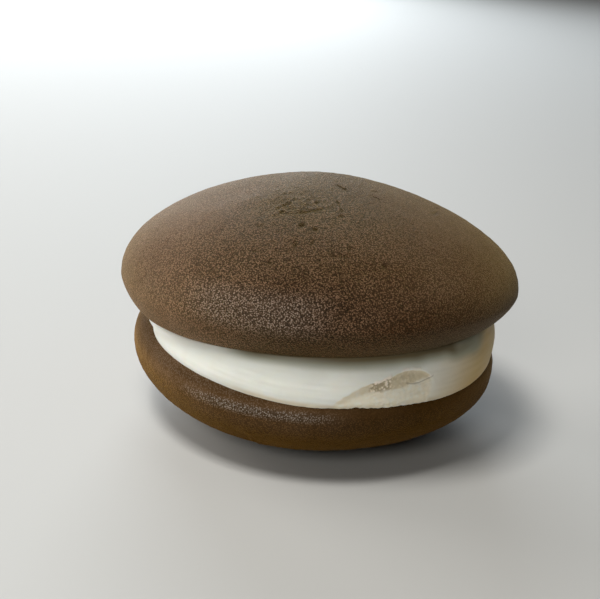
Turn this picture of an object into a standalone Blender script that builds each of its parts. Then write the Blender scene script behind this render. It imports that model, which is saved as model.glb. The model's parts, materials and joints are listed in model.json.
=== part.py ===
"""Whoopie pie: two soft cocoa cakes, flat side to flat side, with a thick layer of cream between them.

Run with: blender --background --python part.py

Units are metres, +Z is up, and the front, where the cream shows most, faces -Y. The pie stands on the
lower cake's dome, which its own weight presses flat over a small round spot at Z = 0. The upper cake sits
at a slant, so the cream is a wedge: thick at the front right, thin at the back left.
"""

import math

import bpy
from mathutils import Euler, Matrix, Vector

NAME = "whoopie_pie"
MM = 0.001

# Each cake is a dome on one side of its widest ring, and a rolled edge down to a flat side on the other.
# A power is a superellipse's exponent: 2 is round and more is squarer.
# A lobe stretches the round outline: (how many, share of the radius, direction of one in degrees).

# Upper cake, dome up
TOP_RADIUS = 49.0 * MM
TOP_LOBES = ((2, 0.0018, 39.0), (3, 0.0062, -53.0), (4, 0.0036, 20.0))
TOP_DOME = 25.3 * MM  # widest ring to crown
TOP_DOME_POWERS = (1.55, 2.13)  # across, up
TOP_DOME_LEAN = (-0.064, -0.027)  # share of its height that the dome gains towards +X and +Y
TOP_DOME_SLUMP = 0.083  # share that it loses at its left and right flanks
TOP_EDGE = 7.8 * MM  # widest ring to flat side, at the middle
TOP_EDGE_POWER = 1.4
TOP_EDGE_SLOPE = -0.038  # depth that the edge gains per metre towards +X
TOP_FLAT_SHARE = 0.873  # flat side's share of the radius
TOP_SLANT = (-3.9, -1.9)  # degrees about X and Y

# Lower cake, dome down
BOTTOM_RADIUS = 45.0 * MM
BOTTOM_LOBES = ((2, 0.0026, -21.0), (3, 0.0053, 12.0), (4, 0.0102, -15.0))
BOTTOM_DOME = 20.0 * MM
BOTTOM_DOME_POWERS = (1.95, 2.16)
BOTTOM_EDGE = 5.75 * MM
BOTTOM_EDGE_POWER = 2.16
BOTTOM_FLAT_SHARE = 0.922
PRESSED_DEPTH = 1.3 * MM  # height that the flat spot takes off the dome
PRESSED_BLEND = 0.2 * MM  # half the height over which the dome runs into the spot

# The upper cake's centre, from the lower cake's axis and flat side
TOP_OFFSET = (0.7 * MM, 0.3 * MM, 12.6 * MM)

# Cream
CREAM_RADIUS = 42.85 * MM  # of its foot, on the lower cake
CREAM_LOBES = ((1, 0.0515, -50.0), (2, 0.0091, 64.0), (3, 0.0107, 0.0), (5, 0.0063, -27.0))
CREAM_BULGE = 0.9 * MM  # at half its height
CREAM_STEP = 0.6 * MM  # how far its upper rim stands back from its foot
CONTACT_GAP = 0.3 * MM  # between the cream and each cake

# A shallow swipe in the cream's side, from its low left end to its high right end
SWIPE_ANGLES = (-83.0, -50.0)  # degrees round the axis, 0 at +X
SWIPE_LEVELS = (0.10, 0.48)  # share of the cream's height, at each end
SWIPE_HALF_WIDTH = 0.29  # as a share of the cream's height
SWIPE_DEPTH = 1.1 * MM

# Facets
STEPS = 64
DOME_ROWS = 14
EDGE_ROWS = 6
SIDE_ROWS = 10
FACE_RINGS = (0.0, 0.85, 0.90, 0.92, 0.94, 0.955, 0.97, 0.98, 0.99)  # of the cream's faces, in shares
MERGE = 0.01 * MM

# Colours
UPPER_COCOA = (0.075, 0.044, 0.024, 1.0)
LOWER_COCOA = (0.066, 0.038, 0.020, 1.0)
PALE_CREAM = (0.78, 0.76, 0.68, 1.0)


def clear_scene():
    for obj in list(bpy.data.objects):
        bpy.data.objects.remove(obj, do_unlink=True)


def new_collection(name):
    collection = bpy.data.collections.new(name)
    bpy.context.scene.collection.children.link(collection)
    return collection


def matte(name, color, roughness):
    finish = bpy.data.materials.new(name)
    finish.use_nodes = True
    shader = finish.node_tree.nodes["Principled BSDF"]
    shader.inputs["Base Color"].default_value = color
    shader.inputs["Roughness"].default_value = roughness
    shader.inputs["Metallic"].default_value = 0.0
    finish.diffuse_color = color
    return finish


def lobed(radius, lobes, angle):
    """The uneven outline's radius in one direction."""
    stretch = 1.0
    for count, share, direction in lobes:
        stretch += share * math.cos(count * (angle - math.radians(direction)))
    return radius * stretch


def quarter(rows, power_across, power_up):
    """A quarter of a superellipse as (across, up) pairs, from (0, 1) to (1, 0)."""
    turns = [row / rows * math.pi / 2 for row in range(rows + 1)]
    return [
        (math.sin(turn) ** (2 / power_across), abs(math.cos(turn)) ** (2 / power_up))
        for turn in turns
    ]


def edge_share(reach, flat_share, power):
    """The rolled edge's depth, as a share, at a share of the radius: 1 on the flat side, 0 at the ring."""
    past = min(max((reach - flat_share) / (1 - flat_share), 0.0), 1.0)
    return (1 - past**power) ** (1 / power)


def turned(name, profile):
    """A closed mesh turned round Z from a profile that starts on the axis and runs out, down and back."""
    line = bpy.data.meshes.new(name)
    edges = [(start, start + 1) for start in range(len(profile) - 1)]
    line.from_pydata([(across, 0, up) for across, up in profile], edges, [])
    guide = bpy.data.objects.new(name, line)
    bpy.context.scene.collection.objects.link(guide)
    screw = guide.modifiers.new("turn", "SCREW")
    screw.axis = "Z"
    screw.steps = STEPS
    screw.render_steps = STEPS
    screw.use_merge_vertices = True
    screw.merge_threshold = MERGE
    evaluated = guide.evaluated_get(bpy.context.evaluated_depsgraph_get())
    body = bpy.data.meshes.new_from_object(evaluated)
    bpy.data.objects.remove(guide)
    bpy.data.meshes.remove(line)
    return body


def cake_profile(dome_powers, edge_power, flat_share):
    """A cake with its dome up, in shares: crown (0, 1), widest ring (1, 0), flat side at -1."""
    dome = quarter(DOME_ROWS, *dome_powers)
    edge = [
        (flat_share + (1 - flat_share) * across, -up)
        for across, up in reversed(quarter(EDGE_ROWS, edge_power, edge_power))
    ]
    return dome + edge[1:] + [(0.0, -1.0)]


def top_cake_mesh():
    mesh = turned("top_cake", cake_profile(TOP_DOME_POWERS, TOP_EDGE_POWER, TOP_FLAT_SHARE))
    for vertex in mesh.vertices:
        across, along, level = vertex.co
        radius = lobed(TOP_RADIUS, TOP_LOBES, math.atan2(along, across))
        x, y = radius * across, radius * along
        if level > 0:
            lean = TOP_DOME_LEAN[0] * across + TOP_DOME_LEAN[1] * along
            height = TOP_DOME * (1 + lean - TOP_DOME_SLUMP * across**2)
        else:
            height = TOP_EDGE + TOP_EDGE_SLOPE * x
        vertex.co = (x, y, level * height)
    return mesh


def pressed(height):
    """A height above the ground plane after the dome has settled: 0 on the spot, blended at its rim."""
    if height >= PRESSED_BLEND:
        return height
    return max(height + PRESSED_BLEND, 0.0) ** 2 / (4 * PRESSED_BLEND)


def bottom_cake_mesh():
    dome_up = cake_profile(BOTTOM_DOME_POWERS, BOTTOM_EDGE_POWER, BOTTOM_FLAT_SHARE)
    dome_down = [(across, -up) for across, up in reversed(dome_up)]
    mesh = turned("bottom_cake", dome_down)
    ground = PRESSED_DEPTH - BOTTOM_DOME
    for vertex in mesh.vertices:
        across, along, level = vertex.co
        radius = lobed(BOTTOM_RADIUS, BOTTOM_LOBES, math.atan2(along, across))
        if level > 0:
            z = BOTTOM_EDGE * level
        else:
            z = ground + pressed(BOTTOM_DOME * level - ground)
        vertex.co = (radius * across, radius * along, z)
    return mesh


def underside_height(pose, x, y):
    """World height of the upper cake's flat side and rolled edge, over a point."""
    local = pose.inverted() @ Vector((x, y, pose.translation.z - TOP_EDGE))
    radius = lobed(TOP_RADIUS, TOP_LOBES, math.atan2(local.y, local.x))
    share = edge_share(math.hypot(local.x, local.y) / radius, TOP_FLAT_SHARE, TOP_EDGE_POWER)
    local.z = -(TOP_EDGE + TOP_EDGE_SLOPE * local.x) * share
    return (pose @ local).z


def upperside_height(pose, x, y):
    """World height of the lower cake's flat side and rolled edge, over a point."""
    radius = lobed(BOTTOM_RADIUS, BOTTOM_LOBES, math.atan2(y, x))
    share = edge_share(math.hypot(x, y) / radius, BOTTOM_FLAT_SHARE, BOTTOM_EDGE_POWER)
    return pose.translation.z + BOTTOM_EDGE * share


def swipe_depth(angle, level):
    """How far the swipe is sunk into the cream's side at a direction and a share of its height."""
    start, end = SWIPE_ANGLES
    along = (math.degrees(angle) - start) / (end - start)
    if not 0 < along < 1:
        return 0.0
    middle = SWIPE_LEVELS[0] + along * (SWIPE_LEVELS[1] - SWIPE_LEVELS[0])
    half_width = SWIPE_HALF_WIDTH * math.sin(math.pi * along) ** 0.5
    across = abs(level - middle) / half_width
    if across >= 1:
        return 0.0
    return SWIPE_DEPTH * math.sin(math.pi * along) ** 0.5 * (1 - across**2)


def cream_mesh(top_pose, bottom_pose):
    upper_face = [(ring, 1.0) for ring in FACE_RINGS]
    levels = [(1 + math.cos(math.pi * row / SIDE_ROWS)) / 2 for row in range(SIDE_ROWS + 1)]
    lower_face = [(ring, 0.0) for ring in reversed(FACE_RINGS)]
    mesh = turned("cream_filling", upper_face + [(1.0, level) for level in levels] + lower_face)
    for vertex in mesh.vertices:
        across, along, level = vertex.co
        angle = math.atan2(along, across)
        ring = math.hypot(across, along)
        toward = Vector((math.cos(angle), math.sin(angle)))
        foot_radius = lobed(CREAM_RADIUS, CREAM_LOBES, angle)
        foot = toward * ring * foot_radius
        rim = toward * ring * (foot_radius - CREAM_STEP)
        inward = toward * min(CONTACT_GAP, foot.length)
        low = upperside_height(bottom_pose, *(foot - inward)) + CONTACT_GAP
        high = underside_height(top_pose, *rim) - CONTACT_GAP
        bulge = 4 * level * (1 - level) * CREAM_BULGE - swipe_depth(angle, level)
        place = foot.lerp(rim, level) + toward * bulge
        vertex.co = (*place, low + level * (high - low))
    return mesh


def add_piece(name, mesh, finish, parent, collection, pose):
    mesh.name = name
    mesh.shade_smooth()
    mesh.materials.clear()
    mesh.materials.append(finish)
    piece = bpy.data.objects.new(name, mesh)
    piece.location = pose.translation
    piece.rotation_euler = pose.to_euler()
    piece.parent = parent
    collection.objects.link(piece)
    return piece


def centre_on_axis(pie, pieces):
    """Moves the whole pie so that the middle of its box stands over the origin."""
    bpy.context.view_layer.update()
    points = [piece.matrix_world @ vertex.co for piece in pieces for vertex in piece.data.vertices]
    for axis in (0, 1):
        side = [point[axis] for point in points]
        pie.location[axis] = -(min(side) + max(side)) / 2


def build():
    clear_scene()
    collection = new_collection(NAME)
    pie = bpy.data.objects.new(NAME, None)
    collection.objects.link(pie)

    bottom_pose = Matrix.Translation((0, 0, BOTTOM_DOME - PRESSED_DEPTH))
    flat_side = Vector((0, 0, bottom_pose.translation.z + BOTTOM_EDGE))
    slant = Euler([math.radians(turn) for turn in (*TOP_SLANT, 0)])
    top_pose = Matrix.Translation(flat_side + Vector(TOP_OFFSET)) @ slant.to_matrix().to_4x4()

    upper = matte("cocoa_upper", UPPER_COCOA, 0.75)
    lower = matte("cocoa_lower", LOWER_COCOA, 0.75)
    cream = matte("cream", PALE_CREAM, 0.5)
    pieces = [
        add_piece("top_cake", top_cake_mesh(), upper, pie, collection, top_pose),
        add_piece("bottom_cake", bottom_cake_mesh(), lower, pie, collection, bottom_pose),
        add_piece("cream_filling", cream_mesh(top_pose, bottom_pose), cream, pie, collection, Matrix()),
    ]
    centre_on_axis(pie, pieces)


build()
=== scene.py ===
"""The whoopie pie's looks: grainy cocoa cakes and smeared cream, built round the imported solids.

Shapes are worked out in millimetres, in the row frame, and become metres when their mesh is made.
Angles are in degrees round the pie's axis: 0 is +X, and the front, towards the camera, is -90.
"""

import json
import math

import bpy
import numpy as np
from mathutils import Euler, Matrix, Vector, noise


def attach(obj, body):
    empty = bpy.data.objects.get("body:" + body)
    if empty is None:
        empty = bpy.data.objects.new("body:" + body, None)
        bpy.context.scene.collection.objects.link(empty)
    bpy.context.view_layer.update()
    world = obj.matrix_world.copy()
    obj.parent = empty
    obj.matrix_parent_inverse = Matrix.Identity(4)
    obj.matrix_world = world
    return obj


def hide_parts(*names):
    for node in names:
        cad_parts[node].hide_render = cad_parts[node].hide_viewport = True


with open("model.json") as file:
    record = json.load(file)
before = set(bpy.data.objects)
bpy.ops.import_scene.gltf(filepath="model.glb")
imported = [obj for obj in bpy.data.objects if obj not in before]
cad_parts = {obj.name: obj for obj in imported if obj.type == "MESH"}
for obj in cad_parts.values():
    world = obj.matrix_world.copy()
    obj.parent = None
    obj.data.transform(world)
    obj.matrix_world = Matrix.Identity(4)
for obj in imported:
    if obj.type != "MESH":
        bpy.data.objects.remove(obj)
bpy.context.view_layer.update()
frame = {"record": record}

MM = 0.001

# ---------------------------------------------------------------- sizes, as in the solids (mm, degrees)

AXIS = np.array(frame["record"]["mounts"][0]["pos_m"]) / MM  # the lower cake's axis stands on the rest spot

TOP = {
    "radius": 49.0,
    "lobes": ((2, 0.0018, 39.0), (3, 0.0062, -53.0), (4, 0.0036, 20.0)),
    "dome": 25.3,
    "dome_powers": (1.55, 2.13),
    "lean": (-0.064, -0.027),
    "slump": 0.083,
    "edge": 7.8,
    "edge_power": 1.4,
    "edge_slope": -0.038,
    "flat_share": 0.873,
}
TOP_SLANT = (-3.9, -1.9)
TOP_OFFSET = (0.7, 0.3, 12.6)

BOTTOM = {
    "radius": 45.0,
    "lobes": ((2, 0.0026, -21.0), (3, 0.0053, 12.0), (4, 0.0102, -15.0)),
    "dome": 20.0,
    "dome_powers": (1.95, 2.16),
    "lean": (0.0, 0.0),
    "slump": 0.0,
    "edge": 5.75,
    "edge_power": 2.16,
    "edge_slope": 0.0,
    "flat_share": 0.922,
}
PRESSED_DEPTH = 1.3
PRESSED_BLEND = 0.2

CREAM_RADIUS = 42.85
CREAM_LOBES = ((1, 0.0515, -50.0), (2, 0.0091, 64.0), (3, 0.0107, 0.0), (5, 0.0063, -27.0))
CREAM_BULGE = 0.9
CREAM_STEP = 0.6
CREAM_SINK = 0.1  # how far the cream reaches into each cake, so that they stick together

BOTTOM_HEIGHT = BOTTOM["dome"] - PRESSED_DEPTH  # of the lower cake's widest ring
FLAT_HEIGHT = BOTTOM_HEIGHT + BOTTOM["edge"]
TOP_POSE = Matrix.Translation(Vector(TOP_OFFSET) + Vector((0, 0, FLAT_HEIGHT))) @ (
    Euler([math.radians(turn) for turn in (*TOP_SLANT, 0)]).to_matrix().to_4x4()
)

# Grids: each piece stays under 200,000 triangles
CAKE_COLUMNS = 640
CAKE_ROWS = 146
FLAT_ROWS = 3
CREAM_COLUMNS = 900
CREAM_ROWS = 92
CREAM_FACE_SHARES = (0.98, 0.95, 0.9, 0.8, 0.5)


# ---------------------------------------------------------------- shape


def lobed(radius, lobes, turn):
    """The uneven outline's radius in each direction."""
    stretch = sum(share * np.cos(count * (turn - math.radians(at))) for count, share, at in lobes)
    return radius * (1 + stretch)


def superellipse(power_across, power_up, points=400):
    """A quarter outline from (0, 1) to (1, 0)."""
    turn = np.linspace(0, math.pi / 2, points)
    return np.stack([np.sin(turn) ** (2 / power_across), np.abs(np.cos(turn)) ** (2 / power_up)], 1)


def even_steps(line, steps, scale):
    """Points at even distances along a line whose coordinates have real sizes of scale."""
    step_lengths = np.linalg.norm(np.diff(line * scale, axis=0), axis=1)
    length = np.concatenate([[0], np.cumsum(step_lengths)])
    wanted = np.linspace(0, length[-1], steps)
    return np.stack([np.interp(wanted, length, line[:, axis]) for axis in (0, 1)], 1)


def cake_rows(cake):
    """(across, level) for each row of a cake that has its dome up: crown 1, widest ring 0, flat side -1."""
    dome = superellipse(*cake["dome_powers"])
    edge = superellipse(cake["edge_power"], cake["edge_power"])[::-1]
    edge = np.stack([cake["flat_share"] + (1 - cake["flat_share"]) * edge[:, 0], -edge[:, 1]], 1)
    scale = np.array([cake["radius"], cake["dome"]])
    rows = even_steps(np.concatenate([dome, edge[1:]]), CAKE_ROWS, scale)[1:]
    flat = np.linspace(cake["flat_share"], 0, FLAT_ROWS + 1)[1:-1]
    return np.concatenate([rows, np.stack([flat, -np.ones_like(flat)], 1)])


def cake_points(cake):
    """A cake's smooth surface with its dome up, as a grid of points, rows by columns."""
    rows = cake_rows(cake)
    turn = np.linspace(0, 2 * math.pi, CAKE_COLUMNS, endpoint=False)
    across = rows[:, :1] * np.cos(turn)
    along = rows[:, :1] * np.sin(turn)
    radius = lobed(cake["radius"], cake["lobes"], turn)
    x, y = radius * across, radius * along
    level = np.repeat(rows[:, 1:], len(turn), axis=1)
    lean = cake["lean"][0] * across + cake["lean"][1] * along - cake["slump"] * across**2
    height = np.where(level > 0, cake["dome"] * (1 + lean), cake["edge"] + cake["edge_slope"] * x)
    return np.stack([x, y, level * height], 2)


def posed(points, pose):
    """Points after a pose, given in millimetres from the pie's axis."""
    turned = points @ np.array(pose.to_3x3()).T + np.array(pose.translation)
    return turned + [AXIS[0], AXIS[1], 0]


def grid_normals(points):
    """Outward normals of a grid whose columns go round and whose rows go down its outside."""
    down = np.gradient(points, axis=0)
    around = (np.roll(points, -1, 1) - np.roll(points, 1, 1)) / 2
    normal = np.cross(down, around)
    return normal / np.maximum(np.linalg.norm(normal, axis=2, keepdims=True), 1e-9)


def closed_grid(name, points, marks, flipped=False):
    """A closed mesh from a grid of rings, with one point at each end. marks are its float attributes."""
    rows, columns = points.shape[:2]
    ends = points[[0, -1]].mean(axis=1)
    vertices = np.concatenate([points.reshape(-1, 3), ends]) * MM
    near = np.arange(rows * columns).reshape(rows, columns)
    far = np.roll(near, -1, 1)
    quads = np.stack([near[:-1], near[1:], far[1:], far[:-1]], -1).reshape(-1, 4).tolist()
    first, last = rows * columns, rows * columns + 1
    fans = [(first, a, b) for a, b in zip(near[0].tolist(), far[0].tolist())]
    fans += [(last, b, a) for a, b in zip(near[-1].tolist(), far[-1].tolist())]
    mesh = bpy.data.meshes.new(name)
    mesh.from_pydata(vertices.tolist(), [], quads + fans)
    if flipped:
        mesh.flip_normals()
    mesh.shade_smooth()
    for mark, values in marks.items():
        layer = mesh.attributes.new(mark, "FLOAT", "POINT")
        values = np.concatenate([values.reshape(-1), values[[0, -1]].mean(axis=1)])
        layer.data.foreach_set("value", values.astype(np.float32))
    piece = bpy.data.objects.new(name, mesh)
    bpy.context.scene.collection.objects.link(piece)
    return piece


# ---------------------------------------------------------------- relief

SEED_STEP = np.array([17.3, -9.1, 5.7])  # how far apart in the noise the patterns of two seeds are


def waves(points, size, seed):
    """Smooth noise, about -1 to 1, whose features have the given size, or size per axis."""
    places = (points / size + seed * SEED_STEP).reshape(-1, 3)
    return 2 * np.array([noise.noise(place) for place in places.tolist()]).reshape(points.shape[:-1])


def pits(points, spacing, share, width, depth, seed):
    """Small holes at random: a share of the cells of a Voronoi pattern holds one."""
    places = (points / spacing + seed * SEED_STEP).reshape(-1, 3)
    found = [noise.voronoi(place) for place in places.tolist()]
    distance = np.array([distances[0] for distances, _ in found]) * spacing
    centre = np.array([tuple(centres[0]) for _, centres in found])
    chance = np.sin(centre @ [12.9898, 78.233, 37.719]) * 43758.5453 % 1
    size = width * (0.6 + 0.8 * (chance / share))
    hole = np.clip(1 - (distance / size) ** 2, 0, 1) ** 2
    return -depth * np.where(chance < share, hole, 0).reshape(points.shape[:-1])


def ramp(value, start, end):
    """A smooth step from 0 at start to 1 at end."""
    share = np.clip((value - start) / (end - start), 0, 1)
    return share * share * (3 - 2 * share)


def between(value, start, end, blend):
    """1 from start to end, with smooth steps as wide as blend outside them."""
    return ramp(value, start - blend, start) * ramp(-value, -end - blend, -end)


def stroke(points, centre, length, direction, bend, width, depth):
    """A groove seen from above: its middle, length, direction, how far it bows, half width and depth."""
    turn = math.radians(direction)
    x, y = points[..., 0] - centre[0], points[..., 1] - centre[1]
    along = (x * math.cos(turn) + y * math.sin(turn)) / (length / 2)
    across = -x * math.sin(turn) + y * math.cos(turn) - bend * (along**2 - 1)
    return -depth * np.exp(-((across / width) ** 2)) * np.clip(1 - along**2, 0, 1)


# Marks on the upper cake, as the stroke function takes them
TOP_STROKES = (
    ((3.7, -10.6), 5.4, -49, -0.5, 0.45, 0.34),
    ((11.7, -7.4), 3.0, 45, 0.0, 0.40, 0.22),
    ((12.2, -12.0), 2.9, -24, 0.2, 0.40, 0.22),
    ((26.4, -6.4), 6.4, 70, 0.3, 0.40, 0.24),
    ((-8.8, -21.0), 2.8, 27, 0.3, 0.40, 0.28),
    ((-10.5, -23.0), 1.4, 40, 0.0, 0.40, 0.28),
    ((-9.7, -24.8), 1.4, 27, 0.0, 0.40, 0.30),
    ((-3.1, -24.0), 8.5, 23, 0.4, 0.36, 0.26),
    ((-1.8, -20.0), 1.2, 10, 0.0, 0.45, 0.30),
    ((3.9, -25.7), 1.6, 36, 0.0, 0.40, 0.28),
    ((4.1, -23.2), 1.2, 40, 0.0, 0.40, 0.25),
    ((3.1, -19.3), 1.2, 15, 0.0, 0.40, 0.25),
    ((-4.7, -30.0), 1.8, 36, 0.0, 0.50, 0.45),
    ((-1.7, -31.5), 1.4, 12, 0.0, 0.42, 0.40),
    ((-5.8, -36.5), 1.8, 85, 0.0, 0.35, 0.32),
    ((-2.1, -35.9), 1.6, 87, 0.0, 0.30, 0.26),
    ((6.2, -36.7), 1.3, 70, 0.0, 0.35, 0.30),
    ((4.5, -38.8), 5.9, 8, 0.2, 0.30, 0.20),
    ((13.8, -39.2), 1.4, 10, 0.0, 0.40, 0.36),
    ((-14.1, -29.4), 1.8, 0, 0.0, 0.35, 0.28),
    ((-14.6, -37.0), 1.4, -15, 0.0, 0.35, 0.28),
    ((-11.2, -40.4), 1.6, -7, 0.0, 0.40, 0.30),
)


def top_relief(local):
    """How far the upper cake's crust stands out from its smooth surface, and a mark for its pores."""
    crust = ramp(local[..., 2], -3.0, 2.0)
    crinkled = np.exp(-((local[..., 0] + 8) ** 2 + (local[..., 1] + 21) ** 2) / 60)
    holes = crinkled * -0.25 * np.clip(np.abs(waves(local, (2.6, 1.2, 1.5), 5)) * 1.6 - 0.3, 0, 1)
    holes += crust * pits(local, 2.3, 0.25, 0.42, 0.20, 6)
    holes += crust * pits(local, 5.5, 0.35, 0.55, 0.32, 7)
    for mark in TOP_STROKES:
        holes += 1.3 * ramp(local[..., 2], 0, 3) * stroke(local, *mark)
    relief = holes + 0.05 * waves(local, 24, 1) + 0.03 * waves(local, 8, 2)
    relief += crust * (0.025 * waves(local, 2.6, 3) + 0.025 * waves(local, 1.3, 4))
    dented = np.hypot((local[..., 0] + 22) / 7, (local[..., 1] + 10) / 5)
    relief -= 0.35 * np.exp(-(dented**2)) * crust
    return relief, np.clip(holes / -0.3, 0, 1)


NICK = (-109.5, -10.0)  # the lower cake's nick: angle, and height under its widest ring


def bottom_relief(local):
    """The same for the lower cake, whose dome is up here too, with the nick and the crumbs round it."""
    crust = ramp(local[..., 2], -4.5, -2.0)
    holes = crust * pits(local, 2.2, 0.30, 0.40, 0.16, 15)
    relief = holes + 0.05 * waves(local, 20, 11) + 0.03 * waves(local, 7, 12)
    relief += crust * (0.03 * waves(local, 2.4, 13) + 0.03 * waves(local, 1.2, 14))
    degrees = np.degrees(np.arctan2(local[..., 1], local[..., 0]))
    aside = (degrees - NICK[0]) / np.where(degrees < NICK[0], 3.5, 1.3)
    nick = np.exp(-(aside**2) - ((local[..., 2] + NICK[1]) / 2.5) ** 2)
    crumbled = np.exp(-(((degrees - NICK[0] - 3) / 4) ** 2) - ((local[..., 2] + NICK[1]) / 3) ** 2)
    relief += 0.25 * crumbled * waves(local, 1.4, 16) - 0.7 * nick
    return relief, np.clip(holes / -0.4, 0, 1)


def seamless(mark, degrees, behind):
    """A mark that keeps its values in front and passes over to the ones behind on the far side."""
    return behind + (mark - behind) * (1 - ramp(np.abs(degrees + 90), 115, 178))


# The marks of a cake's crust at each angle and level, as cake_material takes them. Angles go from -270 to 90,
# and levels from 1 at the crown over 0 at the widest ring to less than 0 on the rolled edge.
#   under: how much browner it is, partly real browning and partly painted shade underneath and at the right
#   grainy: how strong its grain is
#   dust_and_highlight: how much pale dust it has, partly a painted highlight
#   shade: painted light and shade, how light it is, where 1 is as in the material


def top_marks(degrees, level):
    """The upper cake's: dust and a painted highlight at the front left, painted light at the left,
    painted shade at the right, and browner on its edge, partly as painted shade.
    """
    crown = ramp(level, 0.90, 0.99)
    # Browner on the rolled edge and further up at the right: partly real browning, partly painted shade.
    brown = 1 - ramp(level - 0.26 * ramp(degrees, -85, -60), -0.22, 0.12)
    brown = brown * (1 - ramp(-degrees, 92, 115))
    grainy = (0.5 + 0.42 * ramp(-degrees, 30, 90)) * (1 - 0.4 * ramp(-degrees, 115, 150))
    grainy = grainy + (0.75 - grainy) * crown
    # Pale dust all over, and a painted highlight on it at the front left.
    dust_and_highlight = 0.17 + 0.75 * between(degrees, -116, -97, 15) * between(level, 0.03, 0.18, 0.17)
    dust_and_highlight -= 0.04 * ramp(degrees, -90, -50)
    painted_light_low_left = ramp(-degrees, 105, 120) * (1 - ramp(level, -0.1, 0.1))
    # Painted light at the front left and low on the left, painted shade at the right and underneath it.
    shade = (
        1
        + 0.2 * between(degrees, -132, -112, 14) * (1 - ramp(level, 0.2, 0.5))
        + 0.6 * painted_light_low_left
        - (0.2 + 0.2 * (1 - ramp(level, 0.0, 0.3))) * ramp(degrees, -80, -52)
        - 0.3 * (1 - ramp(level, -0.25, -0.05)) * ramp(degrees, -85, -55)
    )
    return {
        "under": seamless(brown, degrees, 0.5 * (1 - ramp(level, -0.22, 0.12))),
        "grainy": seamless(grainy, degrees, 0.5 + 0.25 * crown) * (1 + 0.5 * ramp(level, 0.6, 0.95)),
        "dust_and_highlight": seamless(dust_and_highlight, degrees, 0.15),
        "shade": seamless(shade + (0.95 - shade) * crown, degrees, 0.95),
    }


def bottom_marks(degrees, level):
    """The lower cake's: a grainy band of dust and a painted highlight at the front left, browner underneath
    and at the right, partly as painted shade, with painted shade at the right and next to the cream.
    """
    # Browner underneath and at the right: partly real browning, partly painted shade.
    brown = np.clip(ramp(level, 0.12, 0.42) + 0.8 * ramp(degrees, -85, -50), 0, 1)
    # A painted highlight band on the shoulder at the front left, and paler dust towards the cream.
    dust_and_highlight = 0.70 * between(degrees, -116, -94, 18) * between(level, -0.005, 0.03, 0.08)
    grey = 0.12 * ramp(-degrees, 75, 115) * (1 - ramp(level, -0.05, 0.1))
    # Painted shade: darker on the rolled edge next to the cream and towards the right, lighter at the far
    # right.
    darker = 0.27 * ramp(degrees, -100, -75) - 0.22 * ramp(degrees, -60, -35)
    return {
        "under": seamless(brown, degrees, 0.4 + 0.6 * ramp(level, 0.12, 0.42)),
        "grainy": 0.2 + 0.25 * ramp(level, -0.05, 0.08) + 0.35 * dust_and_highlight,
        "dust_and_highlight": seamless(dust_and_highlight + grey, degrees, 0.04),
        "shade": 0.7 + 0.3 * ramp(level, -0.15, -0.05) - seamless(darker, degrees, 0.05),
    }


def cake_piece(name, cake, pose, relief_of, marks_of, dome_down=False):
    """One cake with its relief, as a piece."""
    local = cake_points(cake)
    normal = grid_normals(local)
    relief, pores = relief_of(local)
    degrees = (np.degrees(np.arctan2(local[..., 1], local[..., 0])) + 270) % 360 - 270
    level = local[..., 2] / cake["dome"]
    if dome_down:
        flip = np.array([1, 1, -1])
        smooth = local * flip
        ground = -pose.translation.z
        above = smooth[..., 2] - ground
        pressed = np.clip(above + PRESSED_BLEND, 0, None) ** 2 / (4 * PRESSED_BLEND)
        smooth[..., 2] = ground + np.where(above >= PRESSED_BLEND, above, pressed)
        standing = ramp(smooth[..., 2] - ground, 0, 2)
        shaped = smooth + normal * flip * (relief * standing)[..., None]
    else:
        shaped = local + normal * relief[..., None]
    marks = marks_of(degrees, level)
    marks["pore"] = pores
    return closed_grid(name, posed(shaped, pose), marks, flipped=dome_down)


# ---------------------------------------------------------------- cream


def edge_share(reach, cake):
    """A rolled edge's depth at a share of the radius: from 1 on the flat side to 0 at the widest ring."""
    past = np.clip((reach - cake["flat_share"]) / (1 - cake["flat_share"]), 0, 1)
    return (1 - past ** cake["edge_power"]) ** (1 / cake["edge_power"])


def upperside(x, y):
    """The height of the lower cake's flat side and rolled edge over each point."""
    radius = lobed(BOTTOM["radius"], BOTTOM["lobes"], np.arctan2(y, x))
    return BOTTOM_HEIGHT + BOTTOM["edge"] * edge_share(np.hypot(x, y) / radius, BOTTOM)


def lower_on_edge(reach, turn, drop):
    """A reach on the lower cake's top, moved outwards until the rolled edge there is lower by drop."""
    radius = lobed(BOTTOM["radius"], BOTTOM["lobes"], turn)
    power, flat = BOTTOM["edge_power"], BOTTOM["flat_share"]

    def at(share):
        return radius * (flat + (1 - flat) * (1 - np.clip(share, 0, 1) ** power) ** (1 / power))

    share = edge_share(reach / radius, BOTTOM)
    return reach + at(share - drop / BOTTOM["edge"]) - at(share)


def underside(x, y):
    """The height of the upper cake's flat side and rolled edge over each point."""
    back = TOP_POSE.inverted()
    places = np.stack([x, y, np.full_like(x, TOP_POSE.translation.z - TOP["edge"])], -1)
    local = places @ np.array(back.to_3x3()).T + np.array(back.translation)
    radius = lobed(TOP["radius"], TOP["lobes"], np.arctan2(local[..., 1], local[..., 0]))
    share = edge_share(np.hypot(local[..., 0], local[..., 1]) / radius, TOP)
    local[..., 2] = -(TOP["edge"] + TOP["edge_slope"] * local[..., 0]) * share
    return (local @ np.array(TOP_POSE.to_3x3()).T + np.array(TOP_POSE.translation))[..., 2]


FINE_MIDDLE = -70.0  # the cream's columns stand closest here, over the swipe
FINE_SHARE = 0.7

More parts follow.
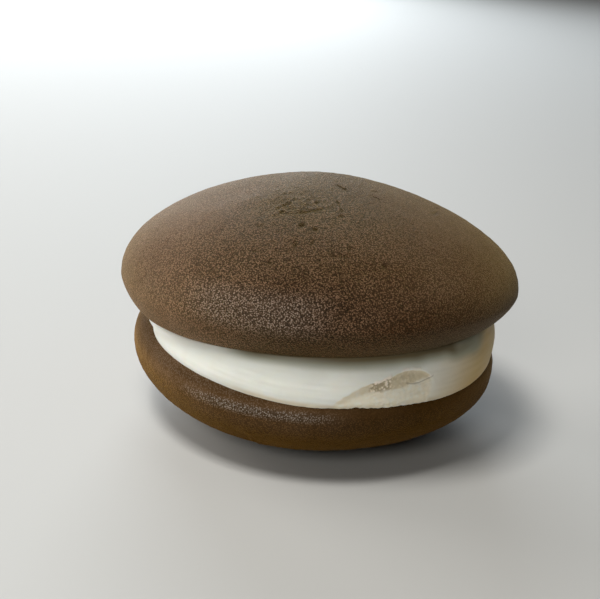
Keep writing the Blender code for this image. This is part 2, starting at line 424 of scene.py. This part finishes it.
# The swipe's upper lip, the lower side of the brown band under it, and the crease in its right end, as
# (angle, height)
SWIPE_LIP = (
    (-83.0, 22.2), (-80.7, 23.6), (-78.1, 24.8), (-74.5, 26.5), (-70.4, 27.3), (-66.1, 28.3), (-61.5, 29.4),
    (-58.5, 29.45), (-55.4, 28.95), (-52.8, 27.9), (-51.0, 26.3), (-49.5, 23.5), (-49.0, 22.0),
)
SWIPE_BAND = (
    (-83.0, 21.2), (-79.0, 22.4), (-75.3, 23.8), (-71.1, 24.9), (-67.6, 24.9), (-64.1, 25.0), (-59.7, 25.7),
    (-57.0, 26.4), (-54.0, 27.0), (-51.0, 27.4),
)
SWIPE_CREASE = ((-61.5, 26.3), (-58.1, 25.85), (-55.9, 25.8), (-54.3, 26.2), (-52.2, 26.75), (-51.0, 27.4))
SWIPE_DEPTH = 0.42
FILLET = 0.3  # radius of the cream's lower and upper edges

# How far the cream's lower edge hangs down over the rolled edge, or stands higher where negative, and how far
# its upper edge is pulled in, as (angle, distance)
FOOT_DROP = (
    (-180, -0.5), (-160, -0.4), (-143, 0.0), (-110, 0.25), (-95, 0.37), (-72, 0.37), (-60, 0.25), (-25, 0.25),
    (0, 0.0), (150, 0.0), (180, -0.5),
)
RIM_PULL = ((-180, 0.3), (-150, 0.8), (-130, 1.1), (-95, 1.1), (-75, 0.3), (-50, 0.2), (0, 0.2), (180, 0.3))


def cream_grid():
    """Angles and levels of the cream's side, and the rings of its two hidden faces."""
    share = np.linspace(0, 1, CREAM_COLUMNS, endpoint=False)
    even = math.radians(FINE_MIDDLE) + 2 * math.pi * (share - 0.5)
    turn = even + FINE_SHARE * np.sin(2 * math.pi * share)
    side = (1 + np.cos(np.linspace(0, math.pi, CREAM_ROWS))) / 2
    side = 0.5 * side + 0.5 * np.linspace(1, 0, CREAM_ROWS)
    rings = [(ring, 1.0) for ring in reversed(CREAM_FACE_SHARES)]
    rings += [(1.0, level) for level in side]
    rings += [(ring, 0.0) for ring in CREAM_FACE_SHARES]
    return turn, np.array(rings)


def cream_piece():
    """The cream, from its foot on the lower cake to its rim under the upper one, as a piece."""
    turn, rings = cream_grid()
    ring, level = rings[:, :1], rings[:, 1:]
    degrees = np.degrees((turn + math.pi) % (2 * math.pi) - math.pi) * np.ones_like(level)
    radius = lobed(CREAM_RADIUS, CREAM_LOBES, turn)
    foot = ring * lower_on_edge(radius, turn, np.interp(degrees[0], *zip(*FOOT_DROP)))
    rim = ring * (radius - CREAM_STEP - np.interp(degrees, *zip(*RIM_PULL)))
    cos, sin = np.cos(turn), np.sin(turn)
    low = upperside(foot * cos, foot * sin) - CREAM_SINK
    high = underside(rim * cos, rim * sin) + CREAM_SINK
    height = high - low
    above = level * height
    side = (ring == 1.0) * np.ones_like(turn)

    edge = np.clip(1 - np.minimum(above, height - above) / FILLET, 0, 1)
    fillet = FILLET * (1 - np.sqrt(1 - edge**2))
    reach = foot + (rim - foot) * level + side * (4 * level * (1 - level) * CREAM_BULGE - fillet)

    arc = np.radians(degrees) * CREAM_RADIUS
    unrolled = np.stack([arc, above, np.zeros_like(arc)], -1)
    relief, marks = cream_relief(unrolled, degrees, above, height, low)
    reach = reach + side * relief
    points = np.stack([reach * cos, reach * sin, low + above], -1) + [AXIS[0], AXIS[1], 0]
    return closed_grid("cream_swirl", points, marks)


def granules(unrolled, size, seed):
    """Packed grains from 0 in the gaps to 1 on top."""
    places = (unrolled / size + seed * SEED_STEP).reshape(-1, 3)
    distance = np.array([noise.voronoi(place)[0][0] for place in places.tolist()])
    return np.clip(1 - (distance / 0.62) ** 2, 0, 1).reshape(unrolled.shape[:-1])


def cream_relief(unrolled, degrees, above, height, low):
    """How far the cream's side stands out, and the marks that its colours follow, several of them painted
    shade.
    """
    wavy = 0.12 * waves(unrolled, (1.4, 0.8, 1), 21)
    below = np.interp(degrees, *zip(*SWIPE_LIP)) - (low + above) + wavy
    over_band = low + above - np.interp(degrees, *zip(*SWIPE_BAND)) + 2 * wavy
    ends = between(degrees, -78.0, -54.0, 4.0)
    wall = 0.8 + 1.4 * ramp(-degrees, 66, 76)
    returning = ramp(above, 0.8, 4.0)
    hollow = SWIPE_DEPTH * ends * np.clip(below / wall, 0, 1) * returning
    inside = between(degrees, -81.0, -53.0, 2.0) * ramp(below, 0, 0.5)
    band = inside * ramp(over_band, -0.5, 0.4)
    thick = ramp(-degrees, 62, 66)
    lip_line = np.exp(-(((below + 0.2 - 0.3 * thick) / (0.3 + 0.12 * thick)) ** 2))
    lips = between(degrees, -70.5, -66.3, 1.0) + 0.5 * between(degrees, -62.0, -56.5, 1.0)
    raised = lip_line * lips * np.clip(0.9 + 0.6 * waves(unrolled, (1.0, 1.0, 1), 22), 0, 1)

    rough = band * (between(degrees, -71.6, -66.2, 1.2) + 0.2 * between(degrees, -65.0, -58.0, 1.2))
    grit = granules(unrolled, 0.62, 23)
    ridged = inside * between(degrees, -70.0, -53.0, 4.0) * (1 - rough)
    ridges = waves(unrolled - 0.25 * unrolled[..., :1] * [0, 1, 0], (3.5, 0.4, 1), 25)

    crease = np.abs(low + above - np.interp(degrees, *zip(*SWIPE_CREASE)))
    crease = np.exp(-((crease / 0.14) ** 2)) * between(degrees, -60.0, -51.8, 1.0)

    foot = 1 - ramp(above, 0.5, 1.8)
    crumbly = 0.25 + between(degrees, -90.0, -66.0, 4.0)
    off_seam = 1 - ramp(np.abs(degrees), 160, 179)  # where the unrolled side's two ends meet, the noise fades
    lumps = foot * crumbly * 0.05 * waves(unrolled, 1.1, 26) * off_seam
    streaked = between(degrees, -93.0, -87.0, 1.5) + between(degrees, -78.0, -76.0, 1.0)
    streaks = streaked * waves(unrolled, (0.5, 5.0, 1), 27) * between(above / height, 0.6, 0.8, 0.1)
    smears = 0.03 * waves(unrolled, (7.0, 0.9, 1), 28) + 0.08 * waves(unrolled, (9.0, 5.0, 1), 29)
    smears *= off_seam

    relief = lumps + smears + 0.02 * streaks - hollow + 0.30 * raised
    relief += 0.05 * inside * waves(unrolled, 0.9, 31) + 0.30 * rough * (grit - 0.35)
    relief += 0.05 * ridged * ridges - 0.15 * crease

    level = above / height
    # Where the painted shade under the upper cake lies, and how far down it reaches.
    front = between(degrees, -106.0, -35.0, 14.0)
    deeper = 0.05 * ramp(degrees, -98, -75) + 0.03 * ramp(degrees, -75, -50)
    deeper += 0.07 * between(degrees, -42, -31, 6)
    deeper += 0.03 * waves(unrolled, (5.0, 30.0, 1), 30) * ramp(degrees, -75, -55)
    lighter_contact_shadow = 1 - 0.55 * between(degrees, -40, -31, 4)
    edge = np.exp(-((np.minimum(above, height - above) / 0.45) ** 2))
    marks = {
        "smear": inside,
        # Olive-brown under the lip: partly scraped crumbs, partly painted shade under the lip.
        "band": band * (0.4 + 0.6 * ramp(degrees, -77, -71)),
        "rough": rough,
        "grit": grit,
        # The lip's peach: partly its own pinkish colour, partly a painted highlight.
        "raised": np.clip(raised, 0, 1),
        # Warmer and darker at the foot: partly beige crumbs, partly painted shade where it meets the lower
        # cake.
        "foot": foot * between(degrees, -105.0, -50.0, 15.0),
        # Brown in the crease: painted shade in the fold.
        "crease": crease,
        # Painted shade, grey-green, under the upper cake at the front.
        "shade": ramp(level, 0.73 - deeper, 0.93 - deeper) * front,
        # Painted contact shadow, dark brown, where the cream meets the upper cake at the front.
        "painted_contact_shadow": ramp(level, 0.87 - deeper, 1.01 - deeper) * front * lighter_contact_shadow,
        # A painted patch of shade high up at the right, under the rim.
        "painted_shade_patch": np.exp(-(((degrees + 32) / 5) ** 2) - ((level - 0.85) / 0.25) ** 2),
        # Painted shade, tan, on the right side of the cream.
        "turned": ramp(degrees - 8 * level, -64, -29) * ramp(-degrees, -100, -20),
        # Painted shade, grey, high up on the front left.
        "painted_shade_left": ramp(level, 0.3, 0.8) * between(degrees, -150, -92, 12),
        "warm": edge * between(degrees, -165, -135, 25),
    }
    return relief, marks


# ---------------------------------------------------------------- materials


class Shader:
    """A material under construction: adds nodes and joins them."""

    def __init__(self, name):
        self.material = bpy.data.materials.new(name)
        self.material.use_nodes = True
        self.tree = self.material.node_tree
        self.surface = self.tree.nodes["Principled BSDF"]
        self.place = self.node("ShaderNodeTexCoord").outputs["Object"]

    def node(self, kind, inputs=None, **settings):
        made = self.tree.nodes.new(kind)
        for key, value in settings.items():
            setattr(made, key, value)
        for key, value in (inputs or {}).items():
            self.feed(made.inputs[key], value)
        return made

    def feed(self, socket, value):
        if isinstance(value, bpy.types.NodeSocket):
            self.tree.links.new(value, socket)
        else:
            socket.default_value = value

    def noise(self, size, detail=2.0, roughness=0.5):
        """Noise from 0 to 1 with features of about size millimetres."""
        inputs = {"Vector": self.place, "Scale": 1 / (size * MM), "Detail": detail, "Roughness": roughness}
        return self.node("ShaderNodeTexNoise", inputs).outputs["Fac"]

    def cells(self, size):
        """Packed grains: the distance from each one's middle, and a random shade for each."""
        found = self.node("ShaderNodeTexVoronoi", {"Vector": self.place, "Scale": 1 / (size * MM)})
        return found.outputs["Distance"], found.outputs["Color"]

    def mark(self, name):
        return self.node("ShaderNodeAttribute", attribute_name=name).outputs["Fac"]

    def spread(self, value, low, high, to_low=0.0, to_high=1.0):
        """A value's range low to high, smoothly stretched to another range."""
        inputs = {"Value": value, "From Min": low, "From Max": high, "To Min": to_low, "To Max": to_high}
        return self.node("ShaderNodeMapRange", inputs, interpolation_type="SMOOTHSTEP").outputs["Result"]

    def math(self, operation, first, second=0.0):
        return self.node("ShaderNodeMath", {0: first, 1: second}, operation=operation).outputs["Value"]

    def mix(self, share, first, second, blend="MIX"):
        made = self.node("ShaderNodeMix", data_type="RGBA", blend_type=blend)
        for socket, value in (("Factor_Float", share), ("A_Color", first), ("B_Color", second)):
            found = next(s for s in made.inputs if s.identifier == socket)
            self.feed(found, value)
        return next(s for s in made.outputs if s.identifier == "Result_Color")

    def bump(self, height, distance, strength=1.0):
        inputs = {"Height": height, "Distance": distance * MM, "Strength": strength}
        return self.node("ShaderNodeBump", inputs).outputs["Normal"]

    def finish(self, color, normal, **values):
        self.feed(self.surface.inputs["Base Color"], color)
        self.feed(self.surface.inputs["Normal"], normal)
        for name, value in values.items():
            self.feed(self.surface.inputs[name.replace("_", " ")], value)
        return self.material


PORE_COLOR = (0.010, 0.006, 0.002, 1.0)


def cake_material(name, crust, dust_and_highlight, brown, gloss, bloom):
    """Cocoa crust in fine, pale grains over dark gaps, pores and specks. It follows the piece's marks,
    which also paint light, shade and a highlight into its colour.
    """
    s = Shader(name)
    fine = s.noise(0.27, detail=2.0, roughness=0.6)
    distance, _ = s.cells(0.38)
    grains = s.spread(distance, 0.15, 0.62, 1.0, 0.0)
    grain = s.math("ADD", s.math("MULTIPLY", fine, 0.7), s.math("MULTIPLY", grains, 0.3))
    swing = s.math("MULTIPLY", s.spread(grain, 0.29, 0.71, -1.0, 1.0), s.mark("grainy"))
    # The shade mark paints light and shade into the colour.
    tone = s.math("MULTIPLY", s.math("MAXIMUM", s.math("ADD", swing, 1.0), 0.06), s.mark("shade"))
    color = s.mix(s.spread(s.noise(9.0), 0.35, 0.65, 0.0, 0.35), crust, brown)
    # The under mark: browner crust, partly painted shade underneath and at the right.
    color = s.mix(s.mark("under"), color, brown)
    color = s.mix(1.0, color, tone, blend="MULTIPLY")
    # Pale dust, and the painted highlight, as paler grains.
    paler = s.math("MULTIPLY", s.mark("dust_and_highlight"), s.spread(grain, 0.37, 0.70, 0.06, 1.0))
    color = s.mix(paler, color, dust_and_highlight)
    distance, shade = s.cells(1.1)
    specks = s.math("MULTIPLY", s.spread(distance, 0.10, 0.30, 1.0, 0.0), s.spread(shade, 0.52, 0.60))
    pores = s.math("MAXIMUM", s.mark("pore"), s.math("MULTIPLY", specks, s.mark("grainy")))
    color = s.mix(s.math("MULTIPLY", pores, 0.75), color, PORE_COLOR)
    height = s.math("SUBTRACT", grain, s.math("MULTIPLY", specks, 0.3))
    normal = s.bump(height, 0.8, strength=s.mark("grainy"))
    return s.finish(
        color,
        normal,
        Roughness=0.6,
        Specular_IOR_Level=gloss,
        Specular_Tint=(1.0, 0.70, 0.38, 1.0),
        Sheen_Weight=bloom[0],
        Sheen_Roughness=0.4,
        Sheen_Tint=bloom[1],
    )


def cream_material():
    """Whipped cream: near white, grey painted shade under the upper cake, tan painted shade at the right,
    with a beige, gritty swipe.
    """
    s = Shader("cream")
    pale = (0.89, 0.905, 0.85, 1.0)
    beige = (0.90, 0.79, 0.58, 1.0)
    olive = (0.64, 0.53, 0.33, 1.0)
    brown = (0.22, 0.15, 0.08, 1.0)
    contact_shadow_brown = (0.12, 0.08, 0.025, 1.0)
    grey = (0.58, 0.60, 0.56, 1.0)
    warm = (0.66, 0.56, 0.39, 1.0)
    # The colour of the painted shade at the right.
    tan = (0.58, 0.38, 0.10, 1.0)
    peach = (1.0, 0.88, 0.76, 1.0)
    shade_grey_green = (0.30, 0.30, 0.21, 1.0)
    cloud = s.noise(5.0, detail=2.0)
    color = s.mix(s.spread(cloud, 0.35, 0.65, 0.0, 0.08), pale, warm)
    # Most of these tints are painted shade: under the upper cake, at the right and, in part, at the foot.
    for mark, share, tint in (
        ("warm", 0.6, peach),
        ("painted_shade_left", 0.5, grey),
        ("turned", 0.97, tan),
        ("foot", 0.75, warm),
        ("shade", 0.85, shade_grey_green),
        ("painted_contact_shadow", 0.9, contact_shadow_brown),
        ("painted_shade_patch", 0.6, shade_grey_green),
        ("smear", 0.6, beige),
    ):
        color = s.mix(s.math("MULTIPLY", s.mark(mark), share), color, tint)
    mottled = s.math("MULTIPLY", s.mark("smear"), s.spread(s.noise(1.1, detail=3.0), 0.45, 0.70, 0.0, 0.45))
    color = s.mix(mottled, color, pale)
    color = s.mix(s.math("MULTIPLY", s.mark("band"), 0.7), color, olive)
    gap = s.math("MULTIPLY", s.mark("rough"), s.spread(s.mark("grit"), 0.05, 0.55, 0.45, 0.0))
    color = s.mix(gap, color, brown)
    grain = s.math("MULTIPLY", s.mark("rough"), s.spread(s.mark("grit"), 0.4, 0.85, 0.0, 0.85))
    color = s.mix(grain, color, peach)
    color = s.mix(s.math("MULTIPLY", s.mark("crease"), 0.6), color, brown)
    color = s.mix(s.mark("raised"), color, peach)
    fine = s.noise(0.5, detail=3.0)
    normal = s.bump(fine, 0.02)
    return s.finish(
        color,
        normal,
        Roughness=0.5,
        Subsurface_Weight=0.35,
        Subsurface_Scale=1.2 * MM,
        Subsurface_Radius=(1.0, 0.8, 0.55),
    )


# ---------------------------------------------------------------- the pieces

upper = cake_piece("upper_cake_crust", TOP, TOP_POSE, top_relief, top_marks)
upper.data.materials.append(
    cake_material(
        "upper_cocoa",
        crust=(0.144, 0.074, 0.038, 1.0),
        dust_and_highlight=(0.420, 0.335, 0.280, 1.0),
        brown=(0.080, 0.024, 0.001, 1.0),
        gloss=0.18,
        bloom=(0.24, (1.0, 0.74, 0.28, 1.0)),
    )
)
bottom_pose = Matrix.Translation((0, 0, BOTTOM_HEIGHT))
lower = cake_piece("lower_cake_crust", BOTTOM, bottom_pose, bottom_relief, bottom_marks, dome_down=True)
lower.data.materials.append(
    cake_material(
        "lower_cocoa",
        crust=(0.126, 0.069, 0.031, 1.0),
        dust_and_highlight=(0.410, 0.380, 0.345, 1.0),
        brown=(0.066, 0.027, 0.0015, 1.0),
        gloss=0.03,
        bloom=(0.29, (1.0, 0.55, 0.12, 1.0)),
    )
)
cream = cream_piece()
cream.data.materials.append(cream_material())

for piece, node, slot in (
    (upper, "top_cake", "upper_cake"),
    (lower, "bottom_cake", "lower_cake"),
    (cream, "cream_filling", "cream"),
):
    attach(piece, "root")
    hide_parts(node)

# ---------------------------------------------------------------- floor, lights, camera

FLOOR_SIZE = 6.0  # metres
FLOOR_COLOR = (0.57, 0.57, 0.56, 1.0)
bpy.ops.mesh.primitive_plane_add(size=FLOOR_SIZE)
floor = bpy.context.object
floor.name = "floor"
pale = Shader("pale_floor")
floor.data.materials.append(pale.finish(FLOOR_COLOR, pale.bump(pale.noise(3.0), 0.02), Roughness=0.7))

AIM = Vector((AXIS[0], AXIS[1], 26.7)) * MM


def area_light(name, azimuth, elevation, distance, size, strength, color):
    """A soft square light facing the pie: degrees for its direction, metres for distance and size, watts."""
    across, up = math.radians(azimuth), math.radians(elevation)
    toward = Vector((math.cos(across) * math.cos(up), math.sin(across) * math.cos(up), math.sin(up)))
    lamp = bpy.data.lights.new(name, "AREA")
    lamp.shape = "SQUARE"
    lamp.size = size
    lamp.energy = strength
    lamp.color = color
    held = bpy.data.objects.new(name, lamp)
    held.location = AIM + toward * distance
    held.rotation_euler = toward.to_track_quat("Z", "Y").to_euler()
    bpy.context.scene.collection.objects.link(held)


area_light("key", -125, 65, 1.0, 0.3, 6.7, (1.0, 0.98, 0.93))
area_light("fill", -105, 28, 1.0, 0.3, 2.4, (1.0, 0.98, 0.92))
area_light("side", 155, 14, 1.0, 0.6, 6.5, (1.0, 0.97, 0.92))
area_light("back", 104, 20, 1.0, 0.6, 6.5, (0.88, 0.95, 1.0))

world = bpy.data.worlds.new("studio")
world.use_nodes = True
background = world.node_tree.nodes["Background"].inputs
background["Color"].default_value = (0.95, 0.98, 1.0, 1.0)
background["Strength"].default_value = 0.02
bpy.context.scene.world = world

SENSOR_WIDTH = 36.0  # millimetres
LENS = 78.576  # millimetres
CAMERA_ELEVATION = 20.0  # degrees
CAMERA_DISTANCE = 0.330  # metres
CAMERA_ROLL = 5.23  # degrees
CAMERA_SHIFT = (-0.02525, 0.0237167)  # shares of the frame's width

lens = bpy.data.cameras.new("camera")
lens.sensor_width = SENSOR_WIDTH
lens.lens = LENS
lens.shift_x, lens.shift_y = CAMERA_SHIFT
camera = bpy.data.objects.new("camera", lens)
rise = math.radians(CAMERA_ELEVATION)
away = Vector((0, -math.cos(rise), math.sin(rise)))
upright = Vector((0, math.sin(rise), math.cos(rise)))
roll = math.radians(CAMERA_ROLL)
right = Vector((1, 0, 0)) * math.cos(roll) + upright * math.sin(roll)
camera.matrix_world = Matrix.Translation(AIM + away * CAMERA_DISTANCE) @ (
    Matrix((right, away.cross(right), away)).transposed().to_4x4()
)
bpy.context.scene.collection.objects.link(camera)
bpy.context.scene.camera = camera
bpy.context.scene.view_settings.view_transform = "Standard"
